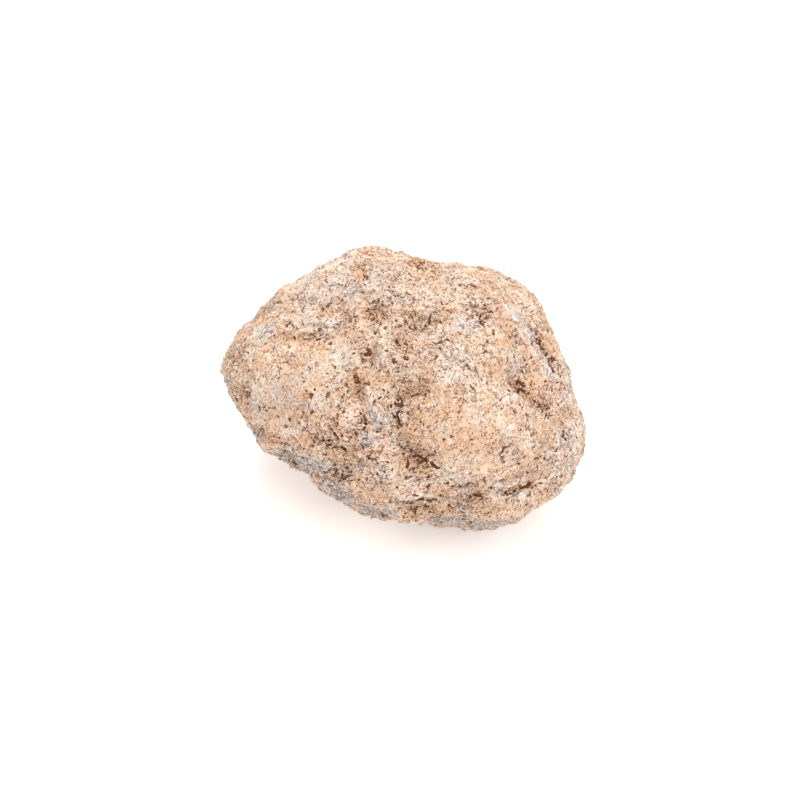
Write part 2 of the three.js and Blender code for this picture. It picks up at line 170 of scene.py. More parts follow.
# Lone pits: place in mm, length and width in mm, turn in degrees.
PITS = (
    (-12.8, 13, 1.2, 0.6, 0), (-13.7, 13.2, 0.5, 0.4, 0), (-15.8, 14.3, 0.8, 0.5, 20),
    (-11.6, 14.6, 0.8, 0.6, 10), (-17.9, 14.9, 0.5, 0.5, 0), (-14.9, 12.4, 0.8, 0.5, 20),
    (-9.7, 11, 0.6, 1.3, 0), (-12.5, 8.6, 0.9, 0.5, -15), (-11.4, 7.3, 1.5, 0.9, 15),
    (-12.4, 6.6, 0.5, 0.5, 0), (-13.9, 8.8, 0.9, 0.4, 15), (-20.8, 12.6, 1.2, 0.4, 15),
    (-25.1, 4, 0.5, 0.7, 0), (-25.8, 6, 0.4, 0.6, 0), (-27.6, 6.6, 0.7, 0.5, 30),
    (-15, 18.9, 0.9, 0.5, 10), (-9.5, 19, 0.7, 0.4, 20), (-12, 17.1, 1.2, 0.35, 5),
    (-4.6, 11.3, 0.9, 0.7, 0), (-4.3, 13.1, 0.6, 0.5, 0), (-3, 13.2, 0.6, 0.5, 20),
    (-3.2, 11.1, 0.7, 0.4, 0), (-5.6, 10.9, 0.7, 0.4, 50), (-4.4, 8.7, 0.9, 0.9, 0),
    (-1.6, 9.8, 0.7, 0.5, 0), (-2.5, 14.5, 0.5, 0.6, 0), (-7.2, 10.8, 1.2, 0.5, -20),
    (-6, 9.8, 0.8, 0.4, -50), (3.2, 11.1, 0.7, 0.5, 40), (2.8, 9.8, 0.6, 0.5, 0), (4.6, 9, 0.4, 0.7, 0),
    (4.1, 10.4, 0.7, 0.5, 0), (1.1, 11.2, 0.7, 0.5, 60), (-1.4, 6.1, 0.7, 0.8, 0), (-0.4, 6.2, 0.6, 0.9, 0),
    (0.6, 7.2, 0.8, 0.6, 0), (1.4, 6.7, 0.6, 0.5, 0), (1.3, 8.6, 0.8, 0.4, -20), (5.2, 4.9, 1.7, 0.7, 35),
    (4.7, 2.7, 1.2, 0.4, 25), (6.6, 10.8, 0.5, 0.6, 0), (6.3, 9.3, 0.5, 1, -10), (2.5, 14.4, 0.4, 0.7, 0),
    (2.2, 19.1, 0.6, 0.6, 0), (-5.5, 6.2, 1.1, 0.8, 10), (-6.2, 4.8, 0.7, 0.8, 0), (-4.9, 3.8, 0.8, 0.9, 0),
    (-7.1, 2.4, 1, 0.4, 30), (-6.5, 1.2, 1, 0.5, 45), (-6.9, -0.6, 1.1, 0.4, 35),
    (14.3, 8.8, 0.8, 0.9, 0), (12.9, 10.6, 1.1, 0.6, 0), (11.7, 11.7, 0.7, 0.6, 0),
    (10.9, 12.3, 1, 0.4, 10), (9.3, 14.5, 0.5, 0.6, 0), (11.4, 15.1, 1.1, 0.4, 10),
    (17.1, 15.6, 0.5, 0.5, 0), (19.2, 13.6, 1.3, 0.5, -75), (17.3, 13.9, 0.6, 0.5, 0),
    (16.7, 18.9, 0.8, 0.5, -30), (20.1, 10, 0.7, 0.5, 0), (21.9, 7.7, 1.4, 0.8, 65),
    (23, 5.5, 1.1, 0.8, 0), (21.9, 2.4, 0.8, 0.5, 40), (15.9, 2.9, 0.8, 0.5, 0),
    (10.2, 4.6, 0.9, 0.4, -20), (8.6, 7.6, 0.7, 0.5, 0), (12, 1.1, 0.8, 0.4, -20),
    (-20.8, -3.1, 1, 0.7, 10), (-22, -3.4, 0.7, 0.5, 0), (-11.6, -0.7, 1, 0.6, 20),
    (-23.4, -6.3, 1.1, 0.7, -30), (-18.3, -12.2, 1.3, 0.7, -10), (-13.2, -7, 0.8, 0.5, -30),
    (-12.8, -8.1, 1.4, 0.7, 0), (-11.4, -9, 1.5, 0.6, -10), (-10.5, -9.3, 0.9, 0.6, -30),
    (-14.9, -5.6, 0.6, 0.6, 0), (-8.4, -2.3, 0.9, 0.5, 0), (-6.6, -3.8, 0.8, 1, 0),
    (-5.7, -5.4, 1.4, 0.8, -20), (-7.4, -6.8, 0.8, 0.35, 20), (-4.8, -11.1, 1.4, 0.55, -40),
    (-6.4, -11.2, 1.1, 0.4, -50), (-8.9, -12.5, 1.8, 0.5, -5), (-9.3, -14.1, 1.4, 0.7, -25),
    (-10.7, -13.9, 0.6, 0.4, 0), (-11.9, -15.5, 1.3, 0.6, -20), (-6.9, -16.7, 0.9, 0.5, -45),
    (-0.7, -3.6, 0.8, 0.6, 0), (-0.4, -5.5, 0.8, 0.5, 20), (2.2, -0.8, 1.2, 0.6, -45),
    (3.3, -1.5, 0.9, 0.5, -20), (0.2, -9.3, 1.4, 0.5, -60), (2.9, -10.8, 1.2, 0.7, -20),
    (-0.6, -13.4, 0.6, 0.6, 0), (4.2, -13.8, 1.1, 0.8, -30), (4, -3.3, 0.6, 0.5, 0),
    (2.6, 1.5, 1, 0.5, 10), (19.5, -3, 0.7, 0.5, 0), (21.1, -2.9, 1, 0.6, 10),
    (22.9, -4, 1.1, 0.6, -30), (14.8, -6.3, 0.6, 0.4, 0), (13.6, -9.3, 0.5, 0.9, 20),
    (20.5, -8.8, 0.6, 0.5, 0), (23.7, -11.6, 1.2, 0.5, 10), (12, -16.8, 1.1, 0.8, 0),
    (12.6, -17.7, 0.5, 1, 10), (10.4, -18.7, 1, 0.4, -10), (11.2, -19.7, 1.4, 0.4, -25),
    (9.2, -19.3, 1.5, 0.8, 25), (8.6, -18.2, 0.7, 0.5, 0), (6.4, -19.4, 0.6, 0.5, 0),
    (6.3, -15.3, 0.8, 0.4, -20), (16.3, -15.9, 1, 0.5, 0), (19.8, -15, 1.2, 1.1, 0),
    (14, -20.1, 1, 0.4, 0), (1.3, -18.5, 0.8, 0.5, 0), (2.9, -20.4, 0.9, 0.4, 0),
    (25.3, -12.9, 0.4, 1.2, 0),
)

# The share of a pit's width that its floor takes.
PIT_FLOOR = 0.8

# Colour patches and worn places on the face: middle in mm, half length and half width in mm, turn in degrees,
# strength.
PATCHES = {
    "grey": (
        (-8.6, 16, 1.7, 1, 20, 0.75), (-5, 17, 2.4, 1.1, 15, 0.45),
        (-15, 17.6, 2, 0.8, 30, 0.5), (9.4, 10.2, 3, 1.4, -8, 0.6), (-4, -4.6, 1.5, 2.2, 20, 0.6),
        (-5, -8, 1.8, 1.4, 0, 0.7), (-9.5, -2, 1.3, 1, 0, 0.6), (-15, -2.5, 2.2, 1.1, 20, 0.35),
        # Grey patches of strength 0.9 and 1 lie low on the face; the slate's painted shade comes in most
        # there.
        (-21.4, -1.6, 4, 2.4, 8, 0.45), (-19, -10.8, 3.2, 1.3, -18, 1),
        (-14, -12.2, 2.6, 1.5, -30, 0.9), (-10, -17, 3.6, 2, -35, 1),
        (-4.4, -19.8, 3.4, 1.4, -15, 1), (-12.2, -15.4, 2, 1.4, -30, 0.5),
        (6.8, -21.2, 3.6, 1.5, -5, 1), (9, -19.2, 1.6, 1, 0, 0.6), (14, -22.2, 6, 1.4, 3, 1),
        (-24, -7.4, 2, 1.2, -45, 0.7), (-28.6, 0.5, 1.2, 2.2, 0, 0.6), (27, -1.5, 1.3, 2.6, 8, 0.35),
        (-8.7, 4, 0.9, 1.5, 15, 0.8), (24.5, 11, 0.9, 1.7, 30, 0.75), (24.8, -8.6, 1.1, 2, -15, 0.6),
        (19.6, 9.4, 4, 0.8, -55, 0.6), (5.2, -2.4, 1.2, 0.8, 0, 0.4),
    ),
    "pale": (
        (-22.5, 9, 2.4, 1.4, 25, 0.9), (-15, 10.2, 5.6, 1.1, 2, 0.5), (17.6, 12, 2, 1.3, -40, 0.85),
        (19.6, 9, 1.5, 1.2, 0, 0.7), (21.2, 6.4, 1.2, 1, -58, 0.8), (23.2, 3.2, 1.9, 1.3, -70, 0.95),
        (12, -9, 3.5, 3, -20, 0.1), (1.5, -16.9, 2.4, 0.7, 10, 0.9), (15.5, -14.6, 4.6, 0.8, 5, 0.6),
        (7.2, -13, 1.6, 2, 0, 0.5), (-13, 2, 6, 2.6, 12, 0.25), (2, 14.6, 5, 2, 10, 0.35),
        (8.6, 3.6, 4, 3, 30, 0.65), (-11.6, 10.4, 1.8, 0.7, 10, 0.95), (-4.5, 15.6, 4.5, 2, 5, 0.55),
        (-3.2, 5.6, 1.3, 1.8, 0, 0.5), (24, -14, 2.6, 3.6, -20, 0.4), (-14, 19.6, 5, 1.5, 32, 0.5),
        (-20, -11, 3, 0.9, -20, 0.4), (-1.5, -13.8, 2.4, 2, -20, 0.4),
        (-13, 15.6, 7, 2.4, 25, 0.6), (27.2, 3.6, 2.2, 6, 10, 0.85), (24.6, 11, 1.6, 3.6, 30, 0.6),
        (27.4, -9, 1.8, 7, -8, 0.65),
    ),
    "ochre": (
        (22, 7.5, 1.6, 1.6, 0, 0.8), (16.5, 9, 2.4, 1.5, -50, 0.55), (13.5, 12.2, 2.8, 1.6, -20, 0.6),
        (3.5, 20.4, 3.2, 1.7, -8, 1), (2.6, -2.2, 2.8, 1.6, 0, 0.75), (-7, 1.4, 2, 1.6, 0, 0.6),
        (17.6, -4.6, 2.2, 2.6, 30, 0.6), (-17.5, 7.4, 3.2, 1.1, 8, 0.5), (-3, 21, 2, 1, 0, 0.5),
        # The ochre patch on the bottom rim at (9.5, -22) is also painted shade: it darkens the bottom edge.
        (-7, 15, 1.6, 0.9, 10, 0.5), (4, -19.8, 4, 1.5, 0, 0.85), (9.5, -22, 4.5, 1.2, 0, 0.9),
        (-10, -11, 3.2, 2.2, 0, 0.5), (-4.5, 11, 2.4, 2.4, 0, 0.4), (-20, 12.6, 4, 1.3, 32, 0.4),
        (21, -18, 3, 1.2, 15, 0.4), (15, -19, 3, 1.6, 0, 0.35),
        (19.5, -1.6, 1.8, 1, -40, 0.6),
    ),
    "pitted": (
        (-13.4, 13.2, 3.4, 1.8, 0, 0.7), (-21, 13.6, 2.8, 1.4, 35, 0.5), (-9.5, 19.2, 3, 1.2, 20, 0.5),
        (2.8, 20.2, 2.4, 1.2, 0, 0.8), (-4.2, 12.2, 2, 2.2, 0, 0.9), (-8.6, 11.4, 2, 1.6, 60, 0.8),
        (3.4, 10.5, 2.6, 1.8, 0, 0.5), (-0.2, 6.6, 2.2, 1.1, 0, 0.9), (-5.6, 4.6, 1.2, 3.2, 0, 0.6),
        (-6.8, 0.6, 1.4, 2.4, 0, 0.8), (1.4, -1, 2.4, 1.8, 0, 0.8), (-0.8, -4, 1.2, 2.8, 0, 0.8),
        (2.4, -10.8, 3.2, 1.8, -30, 0.9), (3.6, -14, 2.8, 1.8, -20, 0.6), (-11.8, -7.8, 3.4, 2.6, 0, 1),
        (-9.3, -13, 3.2, 2.4, 0, 0.9), (-5.6, -10.2, 2.2, 3, 0, 0.8), (-6, -5.6, 2, 2, 0, 0.7),
        (-15, -5, 3.4, 2, -10, 0.5), (-21.8, -3.6, 1.8, 1.2, 0, 0.6), (-23.4, -6.6, 1.6, 1.4, 0, 0.8),
        (-18.6, -11, 3, 1.6, -30, 0.7), (-27, 4.6, 1.6, 3.4, -10, 0.7),
        (-26.2, -1.4, 1.6, 2.8, 10, 0.7), (3, -19.2, 4.4, 1.5, 0, 0.9), (10.6, -18.2, 3, 1.8, 0, 0.9),
        (18, -15.9, 3.4, 0.9, 10, 0.8), (18.8, -1, 3.2, 1.4, -40, 0.8),
        (22, -3.4, 1.8, 1.2, -30, 0.8), (11.8, 12.6, 3.4, 2, -40, 0.8),
        (20, 11.6, 3.6, 1, -70, 0.6), (22.6, 6, 2.6, 1, -55, 0.7), (19.6, -6, 1.2, 3.4, 0, 0.5),
        (25.6, -7, 1.2, 2.8, 10, 0.6), (15.6, -9.2, 2.6, 2, 0, 0.5), (24.2, -12.6, 2, 2.4, 0, 0.5),
        (-9.6, -17, 3.4, 1.8, -35, 0.5),
    ),
    "brown": (
        (-4.2, 12.3, 1.9, 2.2, 0, 0.4), (3.2, 10.6, 2, 1.3, 0, 0.3), (-0.2, 6.5, 2, 0.7, 0, 0.5),
        (-8.6, 11.2, 1.6, 1.2, 0, 0.4), (-5.4, 4.4, 0.9, 2.4, 0, 0.3), (-6.6, 0.6, 0.9, 2, 0, 0.6),
        (2.2, -0.8, 1.6, 0.8, -30, 0.5), (-0.6, -3.6, 0.6, 2.2, 0, 0.5), (3.4, -11.2, 2.2, 0.8, -30, 0.6),
        (4.4, -14, 1.8, 1.2, -30, 0.6), (-12.2, -8.4, 2.6, 1.1, -10, 0.5),
        (-9.2, -13.4, 1.9, 1.4, -10, 0.4), (-6.2, -4.8, 1.3, 1.2, -40, 0.6),
        (22, -3.2, 1.4, 0.9, -30, 0.5), (18.8, -0.6, 1.2, 1, 0, 0.4), (12, -17.4, 1.6, 1, 0, 0.5),
        (16.4, -16, 1.4, 0.7, 0, 0.5), (19.9, -15, 1, 0.8, 0, 0.9), (11, -19.4, 1.8, 0.9, -20, 0.5),
        (2, -18.6, 2.6, 0.9, 0, 0.5), (6.4, -16.4, 2, 1, -30, 0.5), (22.2, 7, 0.9, 1.5, 30, 0.7),
        (23.1, 5.2, 0.9, 0.8, 0, 0.7), (12.6, 11, 1.4, 1, 0, 0.5), (-21, 12.4, 1.8, 0.6, 15, 0.5),
        (-25.6, 4.6, 1.2, 2.6, 0, 0.4), (-25, -1.4, 1.2, 2.8, 0, 0.4), (-17.6, 7.4, 1.8, 1, 0, 0.4),
        (-12.2, 7.6, 1.9, 1, -15, 0.6), (2.8, 20.2, 2, 1, 0, 0.4), (-4.8, -10.9, 1.2, 0.8, -40, 0.6),
        (-18.4, -12, 1.4, 0.7, -20, 0.8), (-23.6, -6.6, 1.1, 0.9, 0, 0.5),
        (-11.8, -15.4, 1.4, 0.7, -20, 0.5),
    ),
    "worn": (
        (12.5, -8, 6.5, 5, -20, 0.9), (-19, -2, 7, 4.5, 8, 0.8), (-12, 3, 4.5, 3, 10, 0.5),
        (-13, 18.5, 6, 2.2, 32, 0.6), (-4.2, -6, 2, 3.4, 20, 0.7), (4, -13, 3, 2.4, -30, 0.4),
        (-20.5, -9, 3, 1.5, -20, 0.5), (18, 11.4, 2.6, 0.9, -50, 0.7), (9, 10.2, 2.6, 1.2, -8, 0.6),
    ),
}

# How patches carry on behind the face: strength, grain in mm and seed of their noise, the range in which it
# brings them in, and how ragged they are.
ELSEWHERE = {
    "worn": (1.0, 9.0, 3, 0.15, 0.4, 0.0),
    "pitted": (0.6, 9.0, 3, 0.1, -0.5, 0.0),
    "pale": (0.7, 9.0, 3, 0.1, 0.5, 0.0),
    "ochre": (0.7, 7.0, 9, 0.15, 0.45, 0.0),
    "grey": (0.8, 4.5, 10, 0.35, 0.5, 0.2),
}


def linear(text):
    """An sRGB hex colour as linear RGB."""
    parts = (int(text[i : i + 2], 16) / 255 for i in (1, 3, 5))
    return tuple(c / 12.92 if c <= 0.04045 else ((c + 0.055) / 1.055) ** 2.4 for c in parts)


def colour(name, text, description):
    return bpy.props.FloatVectorProperty(
        name=name, description=description, subtype="COLOR", size=3, min=0, max=1, default=linear(text)
    )


def length(name, mm, description):
    settings = {"unit": "LENGTH", "subtype": "DISTANCE", "precision": 5, "min": 0}
    return bpy.props.FloatProperty(name=name, description=description, default=mm * MM, **settings)


def number(name, value, description, **settings):
    return bpy.props.FloatProperty(name=name, description=description, default=value, min=0, **settings)


class GeodeColours(bpy.types.PropertyGroup):
    """The colours of the rind and of what is set in it."""

    cream: colour("Cream", "#F1E0D0", "Bleached calcite grains")
    peach: colour("Peach", "#EFD2B9", "Sound rind")
    tan: colour("Tan", "#D6AE90", "Rind between the grains")
    # Rust, sienna and umber are also the painted shade in the rind's hollows, darkest on the floors of the
    # pits.
    rust: colour("Rust", "#C08A5C", "Iron-stained grains in the hollows")
    sienna: colour("Sienna", "#96541A", "Slits between the flakes")
    umber: colour("Umber", "#572A0A", "Floors of pits and cracks")
    ochre: colour("Ochre", "#DFB187", "Limonite stain")
    blush: colour("Blush", "#ECD9C8", "Worn, pinkish places")
    grey: colour("Grey", "#CABEB4", "Chalcedony that shows through the rind")
    # Darker chalcedony and painted shade: it darkens the strongest grey patches, low on the face, so that the
    # face grows darker towards its bottom.
    slate_and_painted_shade: colour("Slate", "#A69B91", "The darkest chalcedony, low on the flank")
    lilac: colour("Lilac", "#C6C0C2", "Bluer chalcedony")
    frost: colour("Frost", "#E3E0DE", "Chalcedony bleached by the weather")
    quartz: colour("Quartz", "#FAF6F2", "Small nodules of milky quartz")


class GeodeSizes(bpy.types.PropertyGroup):
    """The real sizes of the rind's relief and grains."""

    lump: length("Lump", 3.4, "Width of the rind's lumps")
    lump_height: length("Lump height", 0.3, "How far a lump stands out")
    crumb: length("Crumb relief", 1.5, "Width of the crumbs fused into the rind")
    crumb_height: length("Crumb height", 0.27, "How far a fused crumb stands out")
    flake_height: length("Flake height", 0.17, "How far the rind's flakes stand out")
    scale: length("Scale", 1.6, "Width of the scales that the rind peels into near its rim")
    scale_height: length("Scale height", 0.22, "How far a scale's edge stands out")
    sand: length("Sand", 0.36, "Middle width of the sand grains")
    sand_cover: number("Sand cover", 0.1, "Share of facets that carry a sand grain", subtype="FACTOR", max=1)
    pores_per_cm2: number("Pores", 74, "Open pores on a square centimetre of rind")
    pore: length("Pore", 0.58, "Width of the widest lone pores")
    slit: length("Slit", 0.22, "Depth of the slits between the flakes")


class GeodeStage(bpy.types.PropertyGroup):
    """The table, the lights and the camera."""

    floor: colour("Floor", "#F4F3F1", "Pale, matt table top")
    glow: number("Glow", 0.36, "How brightly the table is lit from below", subtype="FACTOR", max=1)
    view_width: length("View width", 132.1, "Width of the view at the nodule")
    rear_power: number("Rear", 2.8, "Power of the rear softbox", unit="POWER")
    front_power: number("Front", 1.8, "Power of the front softbox", unit="POWER")
    ambient: number("Ambient", 0.645, "Strength of the white room light")


# Places and patterns. Points are rows of millimetres.


def smooth_step(value, low, high):
    t = np.clip((value - low) / (high - low), 0, 1)
    return t * t * (3 - 2 * t)


def face_middle():
    low, high = (np.array(corner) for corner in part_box(NODULE))
    return (low + np.array(FACE_MIDDLE_SHARES) * (high - low)) / MM


def on_face(points):
    """x, u and d of points: along the face, up it and out of it."""
    away = points - face_middle()
    return away @ FACE_RIGHT, away @ FACE_UP, away @ FACE_OUT


def turned(turn):
    """The direction on the face that is turned so many degrees from its right."""
    return math.cos(math.radians(turn)) * FACE_RIGHT + math.sin(math.radians(turn)) * FACE_UP


def rim_share(x, u):
    """0 in the middle of the face and 1 on its rim."""
    return np.hypot(x / FACE_HALF[0], u / FACE_HALF[1])


def noise_at(points, grain, seed):
    """Smooth noise from about -1 to 1, with lumps about grain mm wide."""
    shift = Vector((seed * 17.3, seed * 5.1, seed * 9.7))
    step = 1 / grain
    return np.fromiter((noise.noise(Vector(p) * step + shift) for p in points), float, len(points))


def layers_at(x, u, d):
    """The height of each point in the rind's layers, which lie inside each other like the outline."""
    return LAYER_SPAN * rim_share(x, u) - LAYER_LEAN * d


def layer_lines(outward, x, u):
    """The direction along the rind's layers at each place with its outward direction."""
    steep = np.stack((x / FACE_HALF[0] ** 2, u / FACE_HALF[1] ** 2), axis=1)
    steep = steep * LAYER_SPAN / (rim_share(x, u) + 0.05)[:, None]
    across = steep[:, :1] * FACE_RIGHT + steep[:, 1:] * FACE_UP - LAYER_LEAN * FACE_OUT
    lines = np.cross(outward, across)
    return lines / (np.linalg.norm(lines, axis=1)[:, None] + 1e-6)


def flakes_at(points, layer, long, thin, seed):
    """Noise like that of noise_at, drawn out to long mm along the rind's layers and thin mm across them."""
    return noise_at(points / long + np.outer(layer / thin, LAYER_WAY), 1.0, seed)


def scales_at(layer, wide):
    """Overlapping scales across the layers: each rises slowly over its width and ends in a sharp scarp."""
    part = np.mod(layer / wide, 1.0)
    return np.where(part < 0.8, part / 0.8, (1 - part) / 0.2) - 0.5


def crumbs_at(points, grain, edge, seed):
    """Crumbs about grain mm apart: -0.6 between them and 0.4 on top. Their edges take the share edge."""
    shift = Vector((seed * 3.7, seed * 11.9, seed * 7.3))
    found = np.empty((len(points), 2))
    for i, p in enumerate(points):
        found[i] = noise.voronoi(Vector(p) / grain + shift)[0][:2]
    return smooth_step(found[:, 1] - found[:, 0], 0.0, edge) - 0.6


def patch_mask(kind, x, u, facing, warp):
    """How strongly each point of the face lies in the patches of a kind, with ragged edges."""
    mask = np.zeros(len(x))
    for px, pu, long, wide, turn, strength in PATCHES[kind]:
        c, s = math.cos(math.radians(turn)), math.sin(math.radians(turn))
        along, across = (x - px) * c + (u - pu) * s, (u - pu) * c - (x - px) * s
        away = np.hypot(along / long, across / wide) + 0.45 * warp
        mask = np.maximum(mask, strength * (1 - smooth_step(away, 0.55, 1.25)))
    return mask * facing


def distance_to_route(route, x, u):
    nearest = np.full(len(x), np.inf)
    for (ax, au), (bx, bu) in zip(route, route[1:]):
        dx, du = bx - ax, bu - au
        t = np.clip(((x - ax) * dx + (u - au) * du) / (dx * dx + du * du), 0, 1)
        nearest = np.minimum(nearest, np.hypot(x - ax - t * dx, u - au - t * du))
    return nearest


def mesh_arrays(mesh):
    """Places in mm, normals and quads of a mesh of quads."""
    places = np.empty(len(mesh.vertices) * 3)
    mesh.vertices.foreach_get("co", places)
    normals = np.empty(len(mesh.vertices) * 3)
    mesh.vertex_normals.foreach_get("vector", normals)
    corners = np.empty(len(mesh.loops), np.int32)
    mesh.loops.foreach_get("vertex_index", corners)
    return places.reshape(-1, 3) / MM, normals.reshape(-1, 3), corners.reshape(-1, 4)


def relaxed(values, quads, rounds):
    """Values of the vertices, each averaged with its neighbours' so many times."""
    a, b = quads.ravel(), np.roll(quads, -1, axis=1).ravel()
    count = np.bincount(a, minlength=len(values)) + np.bincount(b, minlength=len(values))
    for _ in range(rounds):
        sums = [np.bincount(a, v[b], len(values)) + np.bincount(b, v[a], len(values)) for v in values.T]
        values = (values + np.stack([total / count for total in sums], axis=1)) / 2
    return values


def put_attribute(mesh, name, values):
    mesh.attributes.new(name, "FLOAT", "POINT").data.foreach_set("value", values.astype(np.float32))


def finished_mesh(name, bm):
    """A new mesh from a bmesh, which is freed."""
    mesh = bpy.data.meshes.new(name)
    bm.to_mesh(mesh)
    bm.free()
    return mesh


def link(name, mesh, material):
    """A new object at the origin that rides on the nodule's body."""
    made = bpy.data.objects.new(name, mesh)
    bpy.context.scene.collection.objects.link(made)
    mesh.materials.append(material)
    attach(made, "root")
    return made


# Materials

# What the rind's mesh shows at each place, and a grain takes over from the facet that it sits on.
SHOWN = ("hollow", "nook", "brown", "crest", "worn", "rough", "pale", "ochre", "grey")

# The rind's patterns: width of their lumps in mm, how finely they are broken up and, where they lie along the
# layers, thickness in mm. Real silt and pin holes are finer than the last six, which are drawn as coarse as
# they have to be to show.
SPECKLES = {
    "stone": (6.0, 2.0),
    "veins": (3.7, 1.5),
    "bloom": (3.2, 0.5),
    "wash": (3.1, 3.0),
    "iron": (2.8, 0.5),
    "lined": (2.0, 2.0, 0.7),
    "loose": (0.8, 2.0),
    "loose_gate": (1.1, 2.0),
    "lined_gate": (0.9, 2.0),
    "edge": (1.0, 2.0),
    "flake": (0.8, 3.0, 0.26),
    "streak": (0.5, 1.0, 0.2),
    "hole": (0.42, 1.0),
    "spread": (0.34, 2.0),
    "grain": (0.33, 3.0),
    "prick": (0.3, 1.0),
    "silt": (0.2, 1.0),
}

# What weathering lays over the rind, with painted shade low on the face and a painted highlight on the
# crests,
# in this order: its colour, its patterns with their weights, the range of their sum over which it comes in,
# and its share at the end of that range.
STAINS = (
    ("blush", {"bloom": 1}, 0.45, 0.65, 0.5),
    ("tan", {"wash": 1}, 0.48, 0.32, 0.3),
    ("ochre", {"iron": 1}, 0.45, 0.68, 0.62),
    ("blush", {"pale": 1, "edge": 0.9}, 0.55, 1.05, 0.8),
    ("frost", {"pale": 1, "edge": 0.9}, 1.1, 1.55, 0.7),
    ("ochre", {"ochre": 1, "edge": 0.9}, 0.55, 1.25, 0.6),
    ("stone", {"veins": 1}, 0.53, 0.63, 0.25),
    ("stone", {"grey": 1, "edge": 0.9}, 0.6, 1.2, 0.75),
    # Painted shade: the slate darkens the strongest grey patches, which lie low on the face.
    ("slate_and_painted_shade", {"grey": 1, "edge": 0.9}, 1.2, 1.6, 0.6),
    ("rust", {"brown": 1, "edge": 0.9}, 0.65, 1.35, 0.12),
    ("cream", {"flake": 1}, 0.53, 0.66, 0.25),
    # Bleached crests and painted highlight: cream on the convex places and along the ridges.
    ("cream", {"crest": 1}, 0.1, 1.0, 0.28),
    ("rust", {"grain": 1}, 0.46, 0.32, 0.15),
)
SLIT_STAINS = (
    ("cream", {"rims": 1}, 0.0, 1.0, 0.15),
    ("sienna", {"slits": 1}, 0.0, 1.0, 0.8),
)
# Iron stain and painted shade in the hollows: rust and sienna where the rind is sunk, umber darkest in the
# deepest pits and cracks, as shade gathers there.
HOLLOW_STAINS_AND_SHADE = (
    ("rust", {"hollow": 0.6, "nook": 0.28, "spread": -1}, -0.45, -0.1, 0.25),
    ("sienna", {"hollow": 0.6, "nook": 0.28, "spread": -1}, -0.06, 0.1, 0.5),
    ("umber", {"hollow": 1, "spread": -0.4}, 0.13, 0.27, 0.85),
)
HOLE_STAINS = (
    ("sienna", {"pricks": 1}, 0.0, 1.0, 0.7),
    ("umber", {"holes": 1}, 0.0, 1.0, 0.85),
)

# The fine tooth multiplies the rind's colour by painted shade between the grains and a painted highlight on
# their tips. The painted shade is warm, as light that has bounced between the grains is warmer.
TOOTH_PAINTED_SHADE = (0.55, 0.46, 0.36)
TOOTH_PAINTED_HIGHLIGHT = (1.04, 1.06, 1.1)

# The patterns that stand out of the rind or are sunk into it, with their shares of the fine relief.
FINE_RELIEF = {"flake": 0.55, "grain": 0.4, "slits": -0.7, "holes": -0.9, "pricks": -0.5, "tooth": 0.4}


def add(tree, kind, links=(), **settings):
    """Adds a node. links pairs inputs with outputs, numbers or colours; settings are properties or inputs."""
    node = tree.nodes.new(kind)
    for key, value in settings.items():
        if hasattr(node, key):
            setattr(node, key, value)
        else:
            node.inputs[key.replace("_", " ")].default_value = value
    for target, source in links:
        if isinstance(source, bpy.types.NodeSocket):
            tree.links.new(source, node.inputs[target])
        else:
            node.inputs[target].default_value = source if isinstance(source, (int, float)) else (*source, 1)
    return node


def speckle(tree, place, grain, detail=2.0, thin=None):
    """Lumps about grain mm wide, from 0 to 1. With thin, they lie along the rind's layers, thin mm thick."""
    if thin:
        flat = add(tree, "ShaderNodeVectorMath", [(0, place)], operation="SCALE", Scale=1 / grain)
        layer = add(tree, "ShaderNodeAttribute", attribute_name="layer").outputs["Fac"]
        way = LAYER_WAY / thin
        step = add(tree, "ShaderNodeVectorMath", [("Scale", layer)], operation="SCALE", Vector=way)
        links = [(0, flat.outputs[0]), (1, step.outputs[0])]
        place = add(tree, "ShaderNodeVectorMath", links, operation="ADD").outputs[0]
        grain = 1.0
    node = add(tree, "ShaderNodeTexNoise", [("Vector", place)], Scale=1 / grain, Detail=detail, Roughness=0.6)
    return node.outputs["Fac"]


def summed(tree, terms):
    """The sum of (pattern, weight) terms. A lone pattern of weight 1 needs no node."""
    (total, first), *others = terms
    if first != 1:
        total = add(tree, "ShaderNodeMath", [(0, total), (1, first)], operation="MULTIPLY").outputs[0]
    for pattern, weight in others:
        links = [(0, pattern), (1, weight), (2, total)]
        total = add(tree, "ShaderNodeMath", links, operation="MULTIPLY_ADD").outputs[0]
    return total


def rising(tree, terms, low, high, least=0.0, most=1.0):
    """Rises smoothly from least to most while the sum of terms goes from low to high."""
    limits = {"From_Min": low, "From_Max": high, "To_Min": least, "To_Max": most}
    source = [("Value", summed(tree, terms))]
    node = add(tree, "ShaderNodeMapRange", source, interpolation_type="SMOOTHSTEP", **limits)
    return node.outputs["Result"]


def stained(tree, shade, tone, terms, low, high, most=1.0):
    """Turns a shade to a tone while the sum of terms goes from low to high, by the share most at the end."""
    links = [(0, rising(tree, terms, low, high, 0.0, most)), (6, shade), (7, tone)]
    return add(tree, "ShaderNodeMix", links, data_type="RGBA").outputs[2]


def crevices(tree, bends, gate, wide):
    """Short slits that wind with the pattern bends where gate is high, and the same slits with their rims."""
    bends = add(tree, "ShaderNodeMath", [(0, bends), (1, 0.5)], operation="SUBTRACT").outputs[0]
    away = [(add(tree, "ShaderNodeMath", [(0, bends)], operation="ABSOLUTE").outputs[0], 1)]
    lines = rising(tree, away, wide, wide / 4), rising(tree, away, 3.2 * wide, 1.6 * wide)
    gated = [add(tree, "ShaderNodeMath", [(0, line), (1, gate)], operation="MULTIPLY") for line in lines]
    return [node.outputs[0] for node in gated]


